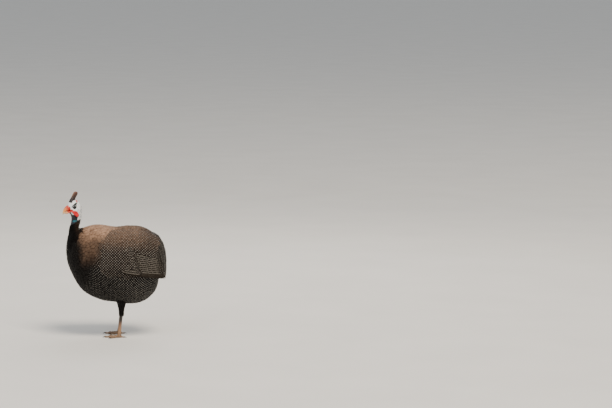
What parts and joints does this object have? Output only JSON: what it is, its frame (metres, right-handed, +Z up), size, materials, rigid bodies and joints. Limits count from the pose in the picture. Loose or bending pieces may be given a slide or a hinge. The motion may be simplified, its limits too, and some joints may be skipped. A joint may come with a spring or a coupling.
{
  "type": "guinea fowl model",
  "caption": "Standing pearl guinea fowl, life size, head up, wings folded and tail held down, with casque, wattles and bare upper neck.",
  "frame": {"origin": "on the floor, under the middle of the bird's bounding box", "axes": "+Z up; the bird faces -X; its left side is -Y"},
  "size_m": [0.3543, 0.225, 0.4955],
  "materials": {
    "plumage": "matte, spotted",
    "flight_feathers": "matte, spotted",
    "neck_feathers": "matte",
    "neck_skin": "matte",
    "face_skin": "satin",
    "red_skin": "satin",
    "bill": "satin",
    "casque": "satin",
    "eye": "gloss",
    "leg_skin": "satin",
    "claw": "satin"
  },
  "bodies": {
    "root": {"torso": "plumage", "neck_lower": "neck_feathers", "neck_upper": "neck_skin", "head": "face_skin", "casque": "casque", "bill_upper": "bill", "bill_lower": "bill", "eye_left": "eye", "eye_right": "eye", "wattle_left": "red_skin", "wattle_right": "red_skin", "wing_left": "flight_feathers", "wing_right": "flight_feathers", "tail": "flight_feathers", "thigh_left": "plumage", "thigh_right": "plumage", "shank_left": "leg_skin", "shank_right": "leg_skin", "foot_left": "leg_skin", "foot_right": "leg_skin", "claw_inner_left": "claw", "claw_middle_left": "claw", "claw_outer_left": "claw", "claw_hind_left": "claw", "claw_inner_right": "claw", "claw_middle_right": "claw", "claw_outer_right": "claw", "claw_hind_right": "claw"}
  },
  "joints": []
}
